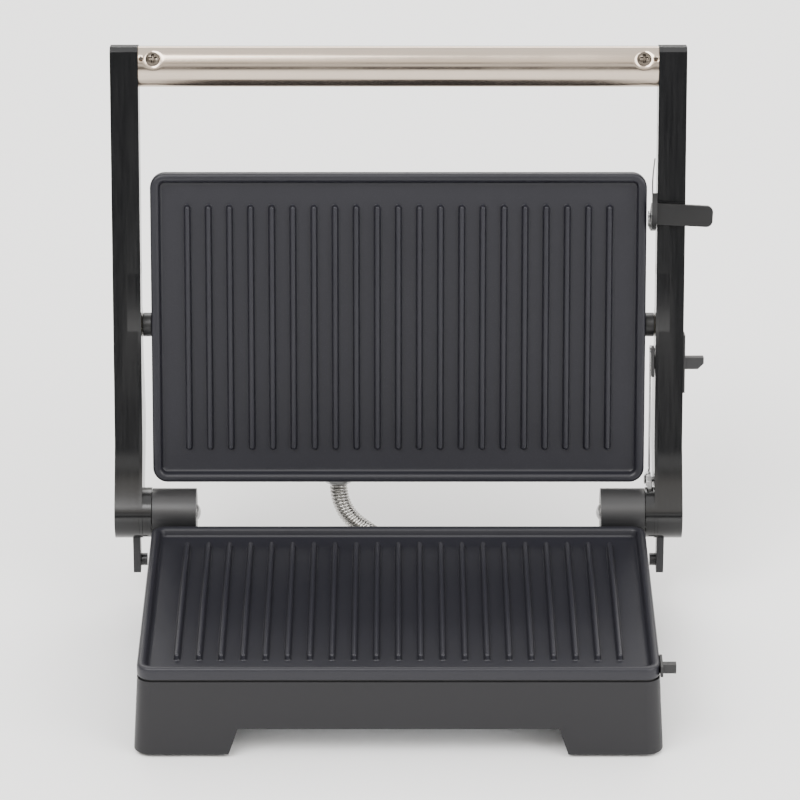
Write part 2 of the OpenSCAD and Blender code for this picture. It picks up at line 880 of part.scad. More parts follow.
module upper_gasket() {
    color("black") in_upper_plate() gasket_ring();
}

module upper_heater() {
    color("gray") in_upper_plate() heater();
}

module upper_heat_shield() {
    color("silver") in_upper_plate() heat_shield();
}

module upper_plate_screws() {
    color("silver") in_upper_plate() plate_screws(-shield_drop - shield_t - 5);
}

module upper_thermal_fuse() {
    color("tan") in_upper_plate() thermal_fuse_body();
}

module trunnion() {
    translate([0, pivot_s, 0]) {
        cross_pin(plate_w / 2 - 13.5, plate_w / 2 - 5, pivot_s, pivot_h, stub_r);
        cross_pin(plate_w / 2 - 5.5, arm_in + 9, pivot_s, pivot_h, trunnion_r - eps);
        cross_pin(plate_w / 2 + 0.3, arm_in - 0.4, pivot_s, pivot_h, 5.7);
    }
}

module left_trunnion() {
    color("black") in_upper_press() on_side(-1) trunnion();
}

module right_trunnion() {
    color("black") in_upper_press() on_side(1) trunnion();
}

module tilt_springs() {
    color("silver") in_upper_press() for (side = [-1, 1], i = [0 : 4]) on_side(side)
        translate([plate_w / 2 - 12.5 + 1.9 * spring_wire_r * i, 0, pivot_h])
            rotate([0, 90, 0]) rotate_extrude()
                translate([stub_r + spring_wire_r + 0.1, 0]) circle(spring_wire_r);
}

module upper_conduit_gland() {
    color("silver") on_arms()
        translate([upper_gland_x, -upper_gland_s - gland_out, upper_gland_h])
            rotate([-90, 0, 0]) conduit_gland(gland_boss_t + gland_nut_h + 0.1);
}

module upper_wiring() {
    h = plate_clear + shield_drop + 9;
    color("sienna") on_arms() for (i = [0 : 1])
        wire([[upper_gland_x - 1.2 + 2.4 * i, -24, upper_gland_h + 1],
            [upper_gland_x - 1.2 + 2.4 * i, -29, upper_gland_h + 1],
            [upper_gland_x - 4 + 8 * i, -38, h], [-12 + 24 * i, -60, h],
            [-12 + 24 * i, -112, h]], wire_r);
}

module lens(x) {
    in_upper_press() translate([x, -38, dome_h - 6]) {
        cylinder(h = 6, r = 3 - eps);
        translate([0, 0, 6]) cylinder(h = 0.7, r = 4);
    }
}

module power_lens() {
    color("red") lens(-11);
}

module ready_lens() {
    color("green") lens(11);
}

// ---------- latch, release slider and stop pawl ----------

module latch_pin() {
    color("silver") on_arms() {
        cross_pin(latch_x0 - 0.1, arm_in + 4, latch_s, latch_h, 2);
        cross_pin(latch_x0 - 1.2, latch_x0 - 0.1 + eps, latch_s, latch_h, 3.2);
    }
}

// thin bowed blade beside the arm that swings the latch back after it is pushed
module latch_spring() {
    bow = [for (k = [0 : 10])
        [arm_in - 0.35 - 1.1 * sin(18 * k), -latch_s - 11.5 - 2.4 * k]];
    skin = [for (k = [10 : -1 : 0]) bow[k] + [-0.35, 0]];
    color("silver") on_arms()
        translate([0, 0, latch_h - 4]) linear_extrude(3) polygon(concat(bow, skin));
}

module pawl_pin() {
    color("silver") on_arms() {
        cross_pin(pawl_x0 - 0.1, arm_in + 4, pawl_s, pawl_h, 1.5);
        cross_pin(pawl_x0 - 0.9, pawl_x0 - 0.1 + eps, pawl_s, pawl_h, 2.4);
    }
}

module latch_lever() {
    bar_l = 10;
    bar_reach = arm_out + 12.6;
    color([0.3, 0.3, 0.31]) on_arms() difference() {
        union() {
            side_plate(latch_x0, latch_x1) {
                translate([latch_s, latch_h]) circle(5);
                polygon([[latch_s - 4.8, latch_h - 2], [latch_s - 2, -4], [latch_s + 6, -9.6],
                    [latch_s + 16, -9.6], [latch_s + 15.5, -6.2], [latch_s + 10.4, -6.2],
                    [latch_s + 9.5, 1], [latch_s + 4, latch_h + 3]]);
            }
            translate([latch_x0, -latch_s, 0]) rotate([0, 0, 3]) translate([0, -bar_l, -3.8]) {
                cube([bar_reach - latch_x0 - 3, bar_l, 2.8]);
                translate([bar_reach - latch_x0 - 3 - eps, 3, 0]) cube([3, bar_l - 6, 2.8]);
                for (y = [3, bar_l - 3])
                    translate([bar_reach - latch_x0 - 3, y, 0]) cylinder(h = 2.8, r = 3);
            }
        }
        cross_pin(latch_x0 - 1, latch_x1 + 1, latch_s, latch_h, 2 + run_fit);
    }
}

module release_slider() {
    color([0.12, 0.12, 0.13]) on_arms() {
        translate([arm_in - 0.4, -release_s - 3, 5]) cube([arm_w + 0.6, 6, 3]);
        translate([arm_out + 0.1, -release_s - 14, 2]) cube([0.9, 28, 9]);
        translate([arm_out + 0.9, 0, 4]) linear_extrude(5)
            polygon([[0, -release_s - 3], [9.2, -release_s - 3], [9.2, -release_s],
                [6.4, -release_s + 2.8], [0, -release_s + 2.8]]);
        translate([arm_in - 1.7, -release_s - 8, 0.6]) cube([1.4, 14, 8]);
    }
}

module pull_wire() {
    color("silver") on_arms() {
        rod([wire_x, -release_s - 5, wire_h], [wire_x, -pull_loop_s - pull_loop_r, wire_h], 0.55);
        for (s = [pull_loop_s, release_s + 6.2])
            translate([wire_x, -s, wire_h]) rotate([0, 90, 0])
                rotate_extrude() translate([pull_loop_r, 0]) circle(0.5);
    }
}

module stop_pawl() {
    color("gray") on_arms() difference() {
        side_plate(pawl_x0, pawl_x1) {
            translate([pawl_s, pawl_h]) circle(3.6);
            translate([collar_r + 0.5, -1.6]) square([3, pawl_h + 1.6]);
            translate([pin_r + 0.6, -1.6]) square([collar_r - pin_r, 3.2]);
        }
        cross_pin(pawl_x0 - 1, pawl_x1 + 1, pawl_s, pawl_h, 1.5 + run_fit);
    }
}

base_housing();
bottom_cover();
cover_screws();
foot_pads();
lower_grill_plate();
lower_gasket();
lower_heater();
lower_heat_shield();
lower_plate_screws();
thermostat();
lower_thermal_fuse();
terminal_block();
base_wiring();
left_hinge_bracket();
right_hinge_bracket();
hinge_bracket_screws();
left_hinge_pin();
right_hinge_pin();
catch_tab();
cord_gland();
lower_conduit_gland();
lower_conduit();
left_arm_shell();
right_arm_shell();
left_arm_cover();
right_arm_cover();
left_arm_bar();
right_arm_bar();
left_hub_bush();
right_hub_bush();
left_pivot_bush();
right_pivot_bush();
arm_cover_screws();
handle_tube();
left_handle_insert();
right_handle_insert();
handle_screws();
latch_pin();
latch_spring();
pawl_pin();
upper_housing();
upper_grill_plate();
upper_gasket();
upper_heater();
upper_heat_shield();
upper_plate_screws();
upper_thermal_fuse();
left_trunnion();
right_trunnion();
tilt_springs();
upper_conduit_gland();
upper_conduit();
upper_wiring();
power_lens();
ready_lens();
latch_lever();
release_slider();
pull_wire();
stop_pawl();
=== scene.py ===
"""Looks of a two-plate panini press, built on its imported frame.

Lengths are metres in the frame's own axes: +X right, +Y to the hinge, +Z up. Pieces on the arms are drawn closed,
as (x, -s, h) with s the distance from the hinge axis and h the height above the line where the plates meet, and
swing() then carries them to the open position.
"""

import json
import math

import bmesh
import bpy
import numpy as np
from bpy.props import (FloatProperty, FloatVectorProperty, IntProperty, PointerProperty)
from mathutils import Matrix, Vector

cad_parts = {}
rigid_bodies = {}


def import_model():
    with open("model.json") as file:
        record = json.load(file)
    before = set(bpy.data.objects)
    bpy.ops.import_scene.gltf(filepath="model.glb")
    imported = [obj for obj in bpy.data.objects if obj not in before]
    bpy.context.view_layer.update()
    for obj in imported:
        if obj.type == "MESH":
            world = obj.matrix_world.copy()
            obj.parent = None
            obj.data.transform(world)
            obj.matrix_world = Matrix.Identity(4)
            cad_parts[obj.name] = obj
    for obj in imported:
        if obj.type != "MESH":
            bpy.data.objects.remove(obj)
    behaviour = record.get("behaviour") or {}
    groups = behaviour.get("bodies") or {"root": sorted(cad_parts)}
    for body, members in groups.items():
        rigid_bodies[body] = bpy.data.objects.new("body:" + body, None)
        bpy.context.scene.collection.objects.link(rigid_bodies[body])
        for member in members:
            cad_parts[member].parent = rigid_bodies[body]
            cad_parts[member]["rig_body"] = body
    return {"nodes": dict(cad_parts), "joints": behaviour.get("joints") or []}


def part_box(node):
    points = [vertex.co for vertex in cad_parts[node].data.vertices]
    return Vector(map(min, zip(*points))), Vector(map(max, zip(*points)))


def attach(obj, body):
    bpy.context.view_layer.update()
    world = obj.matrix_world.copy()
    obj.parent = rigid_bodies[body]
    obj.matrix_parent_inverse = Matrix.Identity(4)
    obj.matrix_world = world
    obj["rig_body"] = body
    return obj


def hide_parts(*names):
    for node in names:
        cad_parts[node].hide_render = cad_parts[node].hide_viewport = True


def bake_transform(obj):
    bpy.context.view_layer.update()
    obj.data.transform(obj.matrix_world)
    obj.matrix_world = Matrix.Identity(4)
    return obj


bl_info = {
    "name": "Panini Press",
    "version": (1, 0, 0),
    "blender": (4, 5, 0),
    "location": "View3D > Sidebar > Press",
    "description": "Builds the looks of a two-plate panini press on its packed frame",
    "category": "Object",
}

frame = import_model()
HINGE = next(j for j in frame["joints"] if j["name"] == "arm_hinge")
AXIS = np.array(HINGE["pos_m"])
OPENING = math.radians(-HINGE["range_deg"][0])
MM = 0.001


# ---------- sizes and colours ----------

def length(name, description, default):
    return FloatProperty(name=name, description=description, default=default, unit="LENGTH", precision=5)


def colour(name, description, default):
    return FloatVectorProperty(name=name, description=description, default=default, subtype="COLOR",
                               size=3, min=0, max=1)


class PlateSizes(bpy.types.PropertyGroup):
    """Sizes of the two ribbed grill plates."""
    rib_count: IntProperty(name="Ribs", description="Number of ribs on each plate", default=21, min=3, max=31)
    rib_pitch: length("Rib pitch", "Distance between the middles of two ribs", 0.010)
    rib_length: length("Rib length", "Length of a rib without its round ends", 0.116)
    rib_width: length("Rib width", "Width of a rib half way up", 0.0026)
    rim_width: length("Rim width", "Width of the plate's flat rim", 0.004)
    rim_height: length("Rim height", "Height of the plate's outer edge", 0.00585)
    pan_depth: length("Pan depth", "Depth of the floor below the rim", 0.004)
    pan_bottom: length("Pan bottom", "Depth of the pan's underside below the rim", 0.0066)
    rib_drop: length("Rib drop", "Depth of a rib's crest below the rim", 0.001)
    corner: length("Corner radius", "Radius of the plate's corners", 0.007)
    gap: length("Closing gap", "Distance of each rim from the line where the plates meet", 0.00015)


class HandleSizes(bpy.types.PropertyGroup):
    """Sizes of the bar handle, its screws and its dimples."""
    half_height: length("Half height", "Half the tube's height along the arms", 0.0097)
    half_depth: length("Half depth", "Half the tube's depth, front to back", 0.0062)
    centre_s: length("Distance", "Distance of the tube's middle from the hinge axis", 0.2147)
    centre_h: length("Height", "Height of the tube's middle above the plate line", 0.0066)
    screw_in: length("Screw inset", "Distance of a screw from the arm", 0.0069)
    screw_s: length("Screw offset", "Distance of a screw from the tube's middle line", 0.0042)
    screw_radius: length("Screw radius", "Radius of a screw's head", 0.0032)
    dimple_depth: length("Dimple depth", "Depth of the dimple a screw sits in", 0.0009)
    dimple_radius: length("Dimple radius", "Radius of the dimple a screw sits in", 0.0036)
    slot_in: length("Slot inset", "Distance of the small drain slot from the arm", 0.0014)


class ConduitSizes(bpy.types.PropertyGroup):
    """Route and section of the coiled steel conduit."""
    radius: length("Radius", "Outer radius of the coil", 0.0044)
    pitch: length("Pitch", "Distance from one turn of the coil to the next", 0.0017)
    pull: length("Pull", "How far each end runs straight on before it bends", 0.024)
    end_x: length("End across", "Place across of the end in the upper press", -0.029)
    end_s: length("End distance", "Distance of that end from the hinge axis", 0.010)
    end_h: length("End height", "Height of that end above the plate line", 0.020)


class Finishes(bpy.types.PropertyGroup):
    """Colours of the press."""
    housing: colour("Housing", "Matt charcoal of the housings", (0.014, 0.0138, 0.0155))
    arm: colour("Arm", "Gloss black of the arms", (0.0035, 0.0037, 0.0042))
    plate: colour("Plate", "Non-stick coating of the plates", (0.0105, 0.0105, 0.0145))
    # Handle colour: polished steel's brightness, with a warm tint that is a painted reflection of a warm room
    steel: colour("Handle", "Polished steel of the handle", (0.50, 0.42, 0.345))
    bracket: colour("Bracket", "Satin coat of the hinge brackets", (0.016, 0.016, 0.017))
    metal: colour("Plain steel", "Bars, pins and springs", (0.46, 0.46, 0.46))
    latch: colour("Latch", "Satin dark grey of the latch", (0.007, 0.007, 0.0075))
    ivory: colour("Ivory", "Bushes and terminal block", (0.68, 0.63, 0.52))
    floor: colour("Floor", "Plain pale floor", (0.95, 0.95, 0.95))


class StageSizes(bpy.types.PropertyGroup):
    """Camera of the stage."""
    elevation: FloatProperty(name="Elevation", description="Camera's angle above the counter",
                             default=math.radians(23.8), subtype="ANGLE")
    distance: length("Distance", "Distance from the camera to its target", 2.155)
    target_y: length("Target across", "Place of the target towards the hinge", 0.039)
    target_z: length("Target height", "Height of the target above the counter", 0.125)
    lens: FloatProperty(name="Lens", description="Focal length on a 36 mm sensor, in mm", default=209.6)
    shift: FloatProperty(name="Shift", description="Sideways shift of the picture, as a share of its width",
                         default=0.0019, precision=4)


# ---------- shapes ----------

def swing(points):
    """Carries points drawn closed to the open position: y' = y0 - s cos(a) + h sin(a) and
    z' = z0 + s sin(a) + h cos(a)."""
    x, y, z = np.asarray(points, float).T
    c, s = math.cos(OPENING), math.sin(OPENING)
    return np.column_stack([x, AXIS[1] + y * c + z * s, AXIS[2] - y * s + z * c])


def joined(parts):
    """Several (points, faces) parts as one."""
    points, faces, start = [], [], 0
    for p, f in parts:
        points.append(p)
        faces += [[i + start for i in face] for face in f]
        start += len(p)
    return np.concatenate(points), faces


def skin(rings, first=True, last=True):
    """Closed skin over a grid of rings (m, n, 3): quads join ring i to ring i + 1, and the two end rings are filled.
    Rings that run anticlockwise, seen from where the skin grows to, give outward faces."""
    rings = np.asarray(rings, float)
    m, n = rings.shape[:2]
    i = np.arange(m * n).reshape(m, n)
    j = np.roll(i, -1, axis=1)
    faces = np.stack([i[:-1], j[:-1], j[1:], i[1:]], axis=-1).reshape(-1, 4).tolist()
    if first:
        faces.append(i[0, ::-1].tolist())
    if last:
        faces.append(i[-1].tolist())
    return rings.reshape(-1, 3), faces


def rounded_loop(width, depth, radius, steps=10):
    """Rounded rectangle, anticlockwise: each corner is centre + radius (cos a, sin a) over a quarter turn."""
    quarter = np.arange(4).repeat(steps + 1)
    a = (quarter + np.tile(np.linspace(0, 1, steps + 1), 4)) * math.pi / 2
    sx = np.array([1, -1, -1, 1])[quarter]
    sy = np.array([1, 1, -1, -1])[quarter]
    return np.column_stack([sx * (width / 2 - radius) + radius * np.cos(a),
                            sy * (depth / 2 - radius) + radius * np.sin(a)])


def stacked_loops(width, depth, radius, profile, least=0.0004, steps=10):
    """Rounded rectangles one on another, each drawn in by profile's inset at profile's height."""
    rings = []
    for inset, height in profile:
        r = max(radius - inset, least)
        loop = rounded_loop(width - 2 * inset, depth - 2 * inset, r, steps)
        rings.append(np.column_stack([loop, np.full(len(loop), height)]))
    return np.array(rings)


def smooth_path(knots, samples):
    """Catmull-Rom curve through the knots: on each span p(t) = (2b + (c-a)t + (2a-5b+4c-d)t^2 + (3b-a-3c+d)t^3) / 2."""
    k = np.asarray(knots, float)
    k = np.vstack([2 * k[0] - k[1], k, 2 * k[-1] - k[-2]])
    u = np.linspace(0, len(k) - 3 - 1e-9, samples)
    i = u.astype(int)
    t = (u - i)[:, None]
    a, b, c, d = k[i], k[i + 1], k[i + 2], k[i + 3]
    return (2 * b + (c - a) * t + (2 * a - 5 * b + 4 * c - d) * t ** 2 + (3 * b - a - 3 * c + d) * t ** 3) / 2


def swept(path, radius, across, sides=12, turn=None):
    """Tube along a path: each ring is p + r (cos v u + sin v w) square to the path, with u = across x direction.
    radius is a number or an array over (ring, side)."""
    d = np.gradient(path, axis=0)
    d /= np.linalg.norm(d, axis=1)[:, None]
    u = np.cross(np.asarray(across, float), d)
    u /= np.linalg.norm(u, axis=1)[:, None]
    w = np.cross(d, u)
    v = np.linspace(0, 2 * math.pi, sides, endpoint=False)
    r = np.broadcast_to(radius, (len(path), sides))
    rings = path[:, None] + r[..., None] * (np.cos(v)[:, None] * u[:, None] + np.sin(v)[:, None] * w[:, None])
    return skin(rings)


def turned(points, direction, origin):
    """Points with their Z axis turned to a direction, then moved to an origin."""
    z = np.asarray(direction, float) / np.linalg.norm(direction)
    x = np.cross([0, 1, 0] if abs(z[1]) < 0.9 else [1, 0, 0], z)
    x /= np.linalg.norm(x)
    return points @ np.array([x, np.cross(z, x), z]) + origin


# ---------- making pieces ----------

def add_piece(name, part, material, body, replaces=(), sharp=35):
    """New mesh object from a (points, faces) part, shaded smooth up to the sharp angle, riding on its body."""
    points, faces = part
    mesh = bpy.data.meshes.new(name)
    mesh.from_pydata(points, [], faces)
    mesh.update()
    mesh.shade_smooth()
    mesh.set_sharp_from_angle(angle=math.radians(sharp))
    mesh.materials.append(material)
    piece = bpy.data.objects.new(name, mesh)
    bpy.context.scene.collection.objects.link(piece)
    if body:
        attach(piece, body)
    if replaces:
        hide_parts(*replaces)
    return piece


def body_of(node):
    return frame["nodes"][node]["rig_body"]


def eased_copy(node, material, bevel=0.0004, segments=2, limit=38):
    """A CAD solid with its loose triangles merged, its flat faces whole again and every crisp edge eased."""
    mesh = bpy.data.meshes.new(node + "_eased")
    shape = bmesh.new()
    shape.from_mesh(frame["nodes"][node].data)
    bmesh.ops.remove_doubles(shape, verts=shape.verts, dist=2e-6)
    bmesh.ops.dissolve_degenerate(shape, dist=1e-6, edges=shape.edges)
    bmesh.ops.dissolve_limit(shape, angle_limit=math.radians(1.5), verts=shape.verts, edges=shape.edges)
    shape.to_mesh(mesh)
    shape.free()
    mesh.shade_smooth()
    mesh.set_sharp_from_angle(angle=math.radians(limit))
    mesh.materials.clear()
    mesh.materials.append(material)
    piece = bpy.data.objects.new(node + "_eased", mesh)
    bpy.context.scene.collection.objects.link(piece)
    if bevel:
        ease = piece.modifiers.new("Eased edges", "BEVEL")
        ease.width = bevel
        ease.segments = segments
        ease.limit_method = "ANGLE"
        ease.angle_limit = math.radians(limit)
        flat = piece.modifiers.new("Flat faces", "WEIGHTED_NORMAL")
        flat.mode = "FACE_AREA"
        flat.weight = 90
        flat.keep_sharp = False
    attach(piece, body_of(node))
    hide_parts(node)
    return piece


# ---------- shader groups ----------

def socket(group, name, kind, side, default=None):
    s = group.interface.new_socket(name=name, in_out=side, socket_type=kind)
    if default is not None:
        s.default_value = default
    return s


def new_group(name, inputs, outputs):
    group = bpy.data.node_groups.new(name, "ShaderNodeTree")
    for label, kind, default in inputs:
        socket(group, label, kind, "INPUT", default)
    for label, kind in outputs:
        socket(group, label, kind, "OUTPUT")
    return group, group.nodes.new("NodeGroupInput"), group.nodes.new("NodeGroupOutput")


def node(tree, kind, **values):
    """A shader node with its properties, and its inputs by name, set from keyword values."""
    n = tree.nodes.new(kind)
    for key, value in values.items():
        label = key.replace("_", " ")
        if hasattr(n, key):
            setattr(n, key, value)
        else:
            n.inputs[label].default_value = value
    return n


def grain_group():
    """Fine surface texture: two octave bands of noise on Object coordinates, as a height and a slow variation."""
    g, inp, out = new_group("Fine grain",
                            [("Scale", "NodeSocketFloat", 2500.0), ("Patch Scale", "NodeSocketFloat", 30.0)],
                            [("Height", "NodeSocketFloat"), ("Patch", "NodeSocketFloat")])
    place = g.nodes.new("ShaderNodeTexCoord")
    fine = node(g, "ShaderNodeTexNoise", Detail=2.0, Roughness=0.6)
    patch = node(g, "ShaderNodeTexNoise", Detail=3.0, Roughness=0.55)
    for texture, label in ((fine, "Scale"), (patch, "Patch Scale")):
        g.links.new(place.outputs["Object"], texture.inputs["Vector"])
        g.links.new(inp.outputs[label], texture.inputs["Scale"])
    g.links.new(fine.outputs["Fac"], out.inputs["Height"])
    g.links.new(patch.outputs["Fac"], out.inputs["Patch"])
    return g


def brushed_group():
    """Lines of a brushed or drawn surface: noise on Object coordinates squeezed along one axis."""
    g, inp, out = new_group("Drawn lines",
                            [("Squeeze", "NodeSocketVector", (20.0, 2600.0, 2600.0)),
                             ("Contrast", "NodeSocketFloat", 1.0)],
                            [("Lines", "NodeSocketFloat")])
    place = g.nodes.new("ShaderNodeTexCoord")
    squeeze = node(g, "ShaderNodeVectorMath", operation="MULTIPLY")
    lines = node(g, "ShaderNodeTexNoise", Scale=1.0, Detail=3.0, Roughness=0.65)
    spread = node(g, "ShaderNodeMath", operation="MULTIPLY")
    g.links.new(place.outputs["Object"], squeeze.inputs[0])
    g.links.new(inp.outputs["Squeeze"], squeeze.inputs[1])
    g.links.new(squeeze.outputs["Vector"], lines.inputs["Vector"])
    g.links.new(lines.outputs["Fac"], spread.inputs[0])
    g.links.new(inp.outputs["Contrast"], spread.inputs[1])
    g.links.new(spread.outputs["Value"], out.inputs["Lines"])
    return g


def dust_group():
    """Light dust on faces that look up: the normal's Z times a patchy noise."""
    g, inp, out = new_group("Settled dust",
                            [("Amount", "NodeSocketFloat", 0.1), ("Scale", "NodeSocketFloat", 140.0)],
                            [("Dust", "NodeSocketFloat")])
    place = g.nodes.new("ShaderNodeTexCoord")
    shape = g.nodes.new("ShaderNodeNewGeometry")
    split = g.nodes.new("ShaderNodeSeparateXYZ")
    up = node(g, "ShaderNodeMapRange", From_Min=0.3, From_Max=1.0)
    patch = node(g, "ShaderNodeTexNoise", Detail=6.0, Roughness=0.7)
    both = node(g, "ShaderNodeMath", operation="MULTIPLY")
    amount = node(g, "ShaderNodeMath", operation="MULTIPLY")
    g.links.new(shape.outputs["Normal"], split.inputs["Vector"])
    g.links.new(split.outputs["Z"], up.inputs["Value"])
    g.links.new(place.outputs["Object"], patch.inputs["Vector"])
    g.links.new(inp.outputs["Scale"], patch.inputs["Scale"])
    g.links.new(up.outputs["Result"], both.inputs[0])
    g.links.new(patch.outputs["Fac"], both.inputs[1])
    g.links.new(both.outputs["Value"], amount.inputs[0])
    g.links.new(inp.outputs["Amount"], amount.inputs[1])
    g.links.new(amount.outputs["Value"], out.inputs["Dust"])
    return g


def wear_group():
    """Rubbed edges: where the surface is convex, broken up by noise."""
    g, inp, out = new_group("Edge wear",
                            [("Amount", "NodeSocketFloat", 0.5), ("Scale", "NodeSocketFloat", 300.0)],
                            [("Wear", "NodeSocketFloat")])
    place = g.nodes.new("ShaderNodeTexCoord")
    shape = g.nodes.new("ShaderNodeNewGeometry")
    crest = node(g, "ShaderNodeMapRange", From_Min=0.52, From_Max=0.62)
    patch = node(g, "ShaderNodeTexNoise", Detail=4.0, Roughness=0.7)
    broken = node(g, "ShaderNodeMath", operation="MULTIPLY")
    amount = node(g, "ShaderNodeMath", operation="MULTIPLY", use_clamp=True)
    g.links.new(place.outputs["Object"], patch.inputs["Vector"])
    g.links.new(inp.outputs["Scale"], patch.inputs["Scale"])
    g.links.new(shape.outputs["Pointiness"], crest.inputs["Value"])
    g.links.new(crest.outputs["Result"], broken.inputs[0])
    g.links.new(patch.outputs["Fac"], broken.inputs[1])
    g.links.new(broken.outputs["Value"], amount.inputs[0])
    g.links.new(inp.outputs["Amount"], amount.inputs[1])
    g.links.new(amount.outputs["Value"], out.inputs["Wear"])
    return g


GROUPS = {"grain": grain_group, "lines": brushed_group, "dust": dust_group, "wear": wear_group}


def group_node(tree, key, **values):
    """One of the shared effects in a material, with its own values."""
    made = bpy.data.node_groups.get(GROUPS[key].made) if hasattr(GROUPS[key], "made") else None
    if made is None:
        made = GROUPS[key]()
        GROUPS[key].made = made.name
    n = tree.nodes.new("ShaderNodeGroup")
    n.node_tree = made
    for label, value in values.items():
        n.inputs[label.replace("_", " ")].default_value = value
    return n


# ---------- materials ----------

def start_material(name, **values):
    """A material with one Principled shader, its plain numbers set on the shader's own sockets."""
    m = bpy.data.materials.new(name)
    m.use_nodes = True
    tree = m.node_tree
    shader = next(n for n in tree.nodes if n.type == "BSDF_PRINCIPLED")
    for label, value in values.items():
        shader.inputs[label.replace("_", " ")].default_value = value
    return m, tree, shader


def mix_colour(tree, factor, a, b):
    """Colour between a and b by a factor's output; a and b are colours or outputs."""
    m = node(tree, "ShaderNodeMix", data_type="RGBA")
    tree.links.new(factor, m.inputs["Factor"])
    for value, index in ((a, 6), (b, 7)):
        if isinstance(value, bpy.types.NodeSocket):
            tree.links.new(value, m.inputs[index])
        else:
            m.inputs[index].default_value = (*value, 1)
    return m.outputs[2]


def ranged(tree, value, low, high, from_low=0.3, from_high=0.7):
    n = node(tree, "ShaderNodeMapRange", From_Min=from_low, From_Max=from_high, To_Min=low, To_Max=high)
    tree.links.new(value, n.inputs["Value"])
    return n.outputs["Result"]


def bumped(tree, shader, height, strength, distance):
    b = node(tree, "ShaderNodeBump", Strength=strength, Distance=distance)
    tree.links.new(height, b.inputs["Height"])
    tree.links.new(b.outputs["Normal"], shader.inputs["Normal"])


def scaled(rgb, k):
    return tuple(min(c * k, 1.0) for c in rgb)


def moulded(name, rgb, roughness, grain, depth, dust=0.06, wear=0.0, patch=25.0, **values):
    """Moulded or coated surface: fine texture in the bump, slow patches in colour and roughness, dust and wear."""
    m, tree, shader = start_material(name, **values)
    texture = group_node(tree, "grain", Scale=grain, Patch_Scale=patch)
    tone = mix_colour(tree, texture.outputs["Patch"], scaled(rgb, 0.86), scaled(rgb, 1.14))
    settled = group_node(tree, "dust", Amount=dust, Scale=160.0)
    tone = mix_colour(tree, settled.outputs["Dust"], tone, (0.42, 0.40, 0.38))
    if wear:
        rubbed = group_node(tree, "wear", Amount=wear, Scale=350.0)
        tone = mix_colour(tree, rubbed.outputs["Wear"], tone, scaled(rgb, 3.2))
    tree.links.new(tone, shader.inputs["Base Color"])
    tree.links.new(ranged(tree, texture.outputs["Patch"], roughness - 0.05, roughness + 0.06),
                   shader.inputs["Roughness"])
    bumped(tree, shader, texture.outputs["Height"], 1.0, depth)
    return m


def housing_plastic(rgb):
    return moulded("Charcoal housing", rgb, 0.46, 1900.0, 0.00003, dust=0.012, wear=0.25,
                   IOR=1.45, Specular_IOR_Level=0.3)


def arm_gloss(rgb):
    """Gloss black plastic with faint hairline marks."""
    m, tree, shader = start_material("Gloss black arm", IOR=1.46, Coat_Weight=0.1, Coat_Roughness=0.05)
    texture = group_node(tree, "grain", Scale=420.0, Patch_Scale=18.0)
    marks = group_node(tree, "lines", Squeeze=(900.0, 60.0, 40.0), Contrast=1.0)
    settled = group_node(tree, "dust", Amount=0.03, Scale=260.0)
    tone = mix_colour(tree, settled.outputs["Dust"], rgb, (0.30, 0.29, 0.28))
    tree.links.new(tone, shader.inputs["Base Color"])
    tree.links.new(ranged(tree, marks.outputs["Lines"], 0.16, 0.24), shader.inputs["Roughness"])
    bumped(tree, shader, texture.outputs["Height"], 0.25, 0.00001)
    return m


def plate_coating(name, rgb):
    """Non-stick coating: fine speckle, orange-peel bump and edges rubbed a little lighter."""
    m, tree, shader = start_material(name, IOR=1.45, Specular_IOR_Level=0.4)
    texture = group_node(tree, "grain", Scale=2600.0, Patch_Scale=14.0)
    speckle = node(tree, "ShaderNodeTexVoronoi", Scale=1500.0)
    place = tree.nodes.new("ShaderNodeTexCoord")
    tree.links.new(place.outputs["Object"], speckle.inputs["Vector"])
    fleck = ranged(tree, speckle.outputs["Distance"], 1.0, 0.0, 0.05, 0.28)
    tone = mix_colour(tree, texture.outputs["Patch"], scaled(rgb, 0.9), scaled(rgb, 1.12))
    tone = mix_colour(tree, fleck, tone, scaled(rgb, 2.3))
    rubbed = group_node(tree, "wear", Amount=0.35, Scale=420.0)
    tone = mix_colour(tree, rubbed.outputs["Wear"], tone, scaled(rgb, 3.6))
    tree.links.new(tone, shader.inputs["Base Color"])
    tree.links.new(ranged(tree, texture.outputs["Patch"], 0.34, 0.44), shader.inputs["Roughness"])
    bumped(tree, shader, texture.outputs["Height"], 1.0, 0.000035)
    return m


def drawn_steel(name, rgb, roughness, squeeze, depth=0.000004, spread=0.06):
    """Metal with fine lines along the way it was drawn, and slight smudges."""
    m, tree, shader = start_material(name, Metallic=1.0)
    lines = group_node(tree, "lines", Squeeze=squeeze, Contrast=1.0)
    texture = group_node(tree, "grain", Scale=900.0, Patch_Scale=35.0)
    tone = mix_colour(tree, lines.outputs["Lines"], scaled(rgb, 0.88), scaled(rgb, 1.1))
    tree.links.new(tone, shader.inputs["Base Color"])
    tree.links.new(ranged(tree, texture.outputs["Patch"], roughness - spread / 2, roughness + spread),
                   shader.inputs["Roughness"])
    bumped(tree, shader, lines.outputs["Lines"], 0.6, depth)
    return m


def lens_plastic(name, rgb):
    """Clear tinted lens with a faint ripple."""
    m, tree, shader = start_material(name, IOR=1.49, Coat_Weight=1.0, Coat_Roughness=0.03)
    texture = group_node(tree, "grain", Scale=700.0, Patch_Scale=200.0)
    tone = mix_colour(tree, texture.outputs["Patch"], scaled(rgb, 0.8), scaled(rgb, 1.25))
    tree.links.new(tone, shader.inputs["Base Color"])
    tree.links.new(ranged(tree, texture.outputs["Patch"], 0.08, 0.14), shader.inputs["Roughness"])
    bumped(tree, shader, texture.outputs["Height"], 0.3, 0.00002)
    return m


def material(name):
    """The finish with this name, made the first time it is asked for."""
    made = MATERIALS.get(name)
    if made is None:
        made = MATERIALS[name] = RECIPES[name](bpy.context.scene.press_finishes)
    return made


